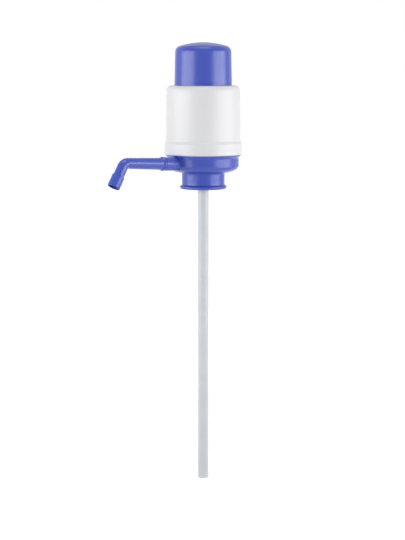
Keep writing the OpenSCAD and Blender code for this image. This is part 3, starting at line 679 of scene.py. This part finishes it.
def wire_surface(t, angle):
    """Wire of radius r round its line: line + r * (cos(a) * outward + sin(a) * across)."""
    step = 1e-3
    run = wire_line(t + step) - wire_line(t - step)
    run /= np.linalg.norm(run, axis=-1, keepdims=True)
    outward = upright(np.cos(TURN * t), np.sin(TURN * t), 0 * t)
    across = np.cross(outward, run)
    return wire_line(t) + wire_r * (np.cos(angle) * outward + np.sin(angle) * across)


coils = np.linspace(0, coil_count, coil_count * coil_steps + 1)[:, None]
round_wire = np.linspace(0, TURN, wire_sides, endpoint=False)[None, :, None]
spring = mesh_piece("spring_coil", wire_surface(np.repeat(coils, wire_sides, axis=1), round_wire),
                    wrap=(False, True))
dress(spring, steel, "pump_body", "stainless_steel", "return_spring", sharp=50)
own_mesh(spring)

# ---- Housing ----
# The white ABS housing snaps over the base's ring with a slightly wider band, and ends in a
# rounded top with the guide sleeve that the cap slides in. Its outside is left bare.

band_h, band_lean = 15.4, 0.5
step_h, step_w = 3.3, 1.9               # slope from the band up to the body
body_lean = 0.6
band_r = housing_high[0]
band_top_r = band_r - band_lean
band_top_z = joint_z + band_h
body_r = band_top_r - step_w
body_z = band_top_z + step_h
top_z = housing_high[2]
top_r = body_r - body_lean
band_foot_fillet, band_top_fillet, step_fillet = 1.8, 1.2, 1.6
corner_r = 7.5
opening_r, opening_fillet = 39.4, 1.2
guide_l, guide_wall = 13.7, 2.0
guide_root_fillet, inside_fillet = 0.5, 2.0
guide_z = top_z - guide_l
guide_r = opening_r + guide_wall
pocket_play = 0.3

housing = turned("housing_shell", rounded(
    (band_top_r - wall, joint_z, hidden_edge),
    (band_r, joint_z, band_foot_fillet),
    (band_top_r, band_top_z, band_top_fillet),
    (body_r, body_z, step_fillet),
    (top_r, top_z, corner_r),
    (opening_r, top_z, opening_fillet),
    (opening_r, guide_z, fine_edge),
    (guide_r, guide_z, fine_edge),
    (guide_r, top_z - wall, guide_root_fillet),
    (top_r - wall, top_z - wall, corner_r - wall),
    (body_r - wall, body_z, inside_fillet),
    (band_top_r - wall, band_top_z, inside_fillet),
    steps=12,
), sides=192)
combined(housing, "DIFFERENCE", *lug_ring("lug_pocket", play=pocket_play))
dress(housing, white_abs, "pump_body", "white_plastic", "housing")

# ---- Press cap ----
# The blue polypropylene cap is pressed by hand. Its side leans in a little, its shoulder is round
# and its top a low dome, and a flange at its foot stops it under the guide sleeve.

cap_low, cap_high = node_box("press_cap")
cap_z = cap_high[2]
guide_gap, cap_lean = 0.35, 1.05
cap_r = opening_r - guide_gap
cap_top_r = cap_r - cap_lean
stop_r, stop_h = cap_high[0], 3.6
stop_top_z = cap_low[2] + stop_h
lean_fillet, inner_lean_fillet = 20, 10     # where the upright foot turns into the leaning side
shoulder_r = 8.5
dome_r = 107.0
dome_c = (0, cap_z - dome_r)
shoulder_c = (cap_top_r - shoulder_r,
              dome_c[1] + math.sqrt((dome_r - shoulder_r) ** 2 - (cap_top_r - shoulder_r) ** 2))
dome_angle = math.degrees(math.atan2(shoulder_c[1] - dome_c[1], shoulder_c[0]))
inner_shoulder_r, inner_dome_r = shoulder_r - wall, dome_r - wall

cap = turned("cap_shell", rounded(
    (cap_r - wall, cap_low[2], fine_edge),
    (stop_r, cap_low[2], edge),
    (stop_r, stop_top_z, edge),
    (cap_r, stop_top_z, hidden_edge),
    (cap_r, top_z, lean_fillet),
    *arc(shoulder_c, (shoulder_r, shoulder_r), 0, dome_angle, 20),
    *arc(dome_c, (dome_r, dome_r), dome_angle, 90, 20)[1:],
    *arc(dome_c, (inner_dome_r, inner_dome_r), 90, dome_angle, 20),
    *arc(shoulder_c, (inner_shoulder_r, inner_shoulder_r), dome_angle, 0, 16)[1:],
    (cap_r - wall, top_z, inner_lean_fillet),
), sides=192)
cap_boss_z = bellows_high[2]
cap_boss_sink, cap_hole_l = 2.8, 8.4
combined(cap, "UNION", *posts("cap_boss", cap_screw_places, screw_boss_r, cap_boss_z,
                              cap_z - cap_boss_sink))
combined(cap, "DIFFERENCE", *posts("cap_screw_hole", cap_screw_places, screw_hole_r,
                                   cap_boss_z - cut, cap_boss_z + cap_hole_l))
dress(cap, blue_polypropylene, "cap", "blue_plastic", "press_cap")

# ---- Bellows plate, intake valve and the cap's screws ----
# A white plate inside the bellows' top is screwed through it to the cap's bosses. Under it a
# silicone disc closes the intake ports, carried by a milky cage.

dress(smoothed_copy("cap_side_plate", "bellows_plate"), white_abs, "cap", "white_plastic",
      "bellows_plate")
dress(smoothed_copy("cap_screw_set", "cap_screws"), steel, "cap", "stainless_steel", "cap_screws")
dress(smoothed_copy("intake_cage", "intake_valve_cage"), natural_polyethylene, "cap",
      "milky_plastic", "intake_valve_cage")
dress(smoothed_copy("intake_flap", "intake_valve_disc"), silicone, "intake_valve", "silicone",
      "intake_valve_disc")

# ---- Spout pipe and its O-ring ----
# The blue pipe turns in the boss on a grooved spigot, behind its flared collar. It is moulded with
# a bend, and tapers a little from the collar to the bend.

swivel_r = 6.62
spigot_l = 21.0
spigot_start = boss_mouth - spigot_l
ring_groove_r, ring_groove_half = 5.15, 0.9
ring_groove_s = boss_mouth - boss_bore_l / 2
ring_groove = (ring_groove_s - ring_groove_half, ring_groove_s + ring_groove_half)
spout_cord_r = 0.75
collar_r = 9.4
collar_s = boss_mouth + snug
collar_fillet, pipe_fillet = 1.0, 2.0
collar_l, collar_slope_l = 2.2, 2.6
pipe_r, pipe_end_r = 7.95, 7.2
leg_l = 35.5
mouth_l = 6.6


def on_leg(distance):
    """Distance along the spout's line of a point that far below the corner of its two legs."""
    return bend_end + distance - bend_run


bend_points = [(pipe_end_r, s, 0) for s in np.linspace(bend_start, bend_end, 25)]
bore_points = [(water_r, s, 0) for s in np.linspace(bend_end, bend_start, 25)]
pipe = turned("spout_tube", rounded(
    (water_r, spigot_start, hidden_edge),
    (swivel_r, spigot_start, edge),
    (swivel_r, ring_groove[0], crease),
    (ring_groove_r, ring_groove[0], crease),
    (ring_groove_r, ring_groove[1], crease),
    (swivel_r, ring_groove[1], crease),
    (swivel_r, collar_s, crease),
    (collar_r, collar_s, gap_edge),
    (collar_r, collar_s + collar_l, collar_fillet),
    (pipe_r, collar_s + collar_l + collar_slope_l, pipe_fillet),
    *bend_points,
    (pipe_end_r, on_leg(leg_l - mouth_l), fine_edge),
    (water_r, on_leg(leg_l - mouth_l), fine_edge),
    *bore_points,
), along_spout, sides=128)
dress(pipe, blue_polypropylene, "spout", "blue_plastic", "spout_pipe")
dress(o_ring("spout_seal_ring", ring_groove_r + spout_cord_r, spout_cord_r, ring_groove_s,
             along_spout), black_rubber, "spout", "black_rubber", "spout_o_ring")

# ---- Spout nozzle ----
# A short sleeve is pushed over the end of the pipe. Its open mouth is wider than the pipe's bore,
# so a hose can go into it or over it.

nozzle_r, nozzle_l, nozzle_bore_r = 8.5, 16.4, 7.5
seat_r = pipe_end_r + snug
nozzle = turned("spout_sleeve", rounded(
    (seat_r, on_leg(leg_l - nozzle_l), crease),
    (nozzle_r, on_leg(leg_l - nozzle_l), edge),
    (nozzle_r, on_leg(leg_l), edge),
    (nozzle_bore_r, on_leg(leg_l), fine_edge),
    (nozzle_bore_r, on_leg(leg_l - mouth_l), crease),
    (seat_r, on_leg(leg_l - mouth_l), 0),
), along_spout, sides=128)
dress(nozzle, blue_polypropylene, "spout", "blue_plastic", "spout_nozzle")

# ---- Studio ----
# A plain white floor under the tube's end, a white surround, and soft light: a broad panel to each
# side, which draws the two long highlights, a large one above, and a small one behind for the rims.

floor_level = cad_bounds[0].z
floor_half = 6.0
floor_mesh = bpy.data.meshes.new("floor")
floor_mesh.from_pydata([(-floor_half, -floor_half, floor_level), (floor_half, -floor_half, floor_level),
                        (floor_half, floor_half, floor_level), (-floor_half, floor_half, floor_level)],
                       [], [(0, 1, 2, 3)])
floor = bpy.data.objects.new("floor", floor_mesh)
bpy.context.scene.collection.objects.link(floor)


def seen_directly(owner):
    """1 for a ray from the camera, off a glossy face or through clear plastic, and 0 for others."""
    ray = add_node(owner, "ShaderNodeLightPath").outputs
    first = add_node(owner, "ShaderNodeMath", {0: ray["Is Camera Ray"], 1: ray["Is Glossy Ray"]},
                     operation="MAXIMUM")
    return add_node(owner, "ShaderNodeMath", {0: first.outputs[0], 1: ray["Is Transmission Ray"]},
                    operation="MAXIMUM").outputs[0]


def white_paper():
    """Matt white paper that glows a little more with distance, so that no horizon shows."""
    paper = empty_material("white_paper")
    place = add_node(paper, "ShaderNodeTexCoord").outputs["Object"]
    away = add_node(paper, "ShaderNodeVectorMath", {0: place}, operation="LENGTH").outputs["Value"]
    fill = add_node(paper, "ShaderNodeMapRange",
                    {"Value": away, "From Min": 0.3, "From Max": 1.6, "To Min": 0.6, "To Max": 0.95})
    matte = add_node(paper, "ShaderNodeBsdfDiffuse", {"Color": linear("#F2F2F2")}).outputs["BSDF"]
    glow = add_node(paper, "ShaderNodeEmission",
                    {"Color": linear("#FFFFFF"), "Strength": fill.outputs["Result"]})
    lit = add_node(paper, "ShaderNodeAddShader", {0: matte, 1: glow.outputs["Emission"]})
    sheet = add_node(paper, "ShaderNodeMixShader",
                     {0: seen_directly(paper), 1: matte, 2: lit.outputs["Shader"]})
    add_node(paper, "ShaderNodeOutputMaterial", {"Surface": sheet.outputs["Shader"]})
    return paper


def white_surround():
    """A world that is white where it is seen, and gives only a weak light from all around."""
    surround = bpy.data.worlds.new("white_surround")
    surround.use_nodes = True
    surround.node_tree.nodes.clear()
    strength = add_node(surround, "ShaderNodeMapRange",
                        {"Value": seen_directly(surround), "To Min": 0.19, "To Max": 1.0})
    air = add_node(surround, "ShaderNodeBackground",
                   {"Color": linear("#FFFFFF"), "Strength": strength.outputs["Result"]})
    add_node(surround, "ShaderNodeOutputWorld", {"Surface": air.outputs["Background"]})
    return surround


floor_mesh.materials.append(white_paper())
bpy.context.scene.world = white_surround()

aim_z = 0.05                            # the panels face the pump's body, 50 mm over its rim seat


def panel(name, azimuth, distance, height, size, radiance):
    """Soft light panel, azimuth degrees right of the camera, that faces the pump's body."""
    lamp = bpy.data.lights.new(name, "AREA")
    lamp.shape = "RECTANGLE"
    lamp.size, lamp.size_y = size
    lamp.energy = radiance * math.pi * size[0] * size[1]
    light = bpy.data.objects.new(name, lamp)
    side = math.radians(azimuth)
    light.location = (distance * math.sin(side), -distance * math.cos(side), height)
    aim = Vector((0, 0, aim_z)) - light.location
    light.rotation_mode = "QUATERNION"
    light.rotation_quaternion = aim.to_track_quat("-Z", "Y")
    bpy.context.scene.collection.objects.link(light)


panel("left_panel", -66, 1.5, 0.15, (1.6, 0.65), 5.3)
panel("right_panel", 69, 1.5, 0.15, (1.6, 0.65), 5.5)
panel("back_panel", 180, 1.6, -0.1, (0.8, 0.5), 3.0)
panel("top_panel", 0, 0.3, 1.8, (1.0, 1.0), 3.6)

look_down = 7.3                         # degrees
camera_data = bpy.data.cameras.new("camera")
camera_data.lens = 110
camera_data.sensor_width = 36
camera = bpy.data.objects.new("camera", camera_data)
camera.location = (-0.001, -2.25, 0.1577)
camera.rotation_euler = (math.radians(90 - look_down), 0, 0)
bpy.context.scene.collection.objects.link(camera)
bpy.context.scene.camera = camera
bpy.context.scene.view_settings.view_transform = "Standard"
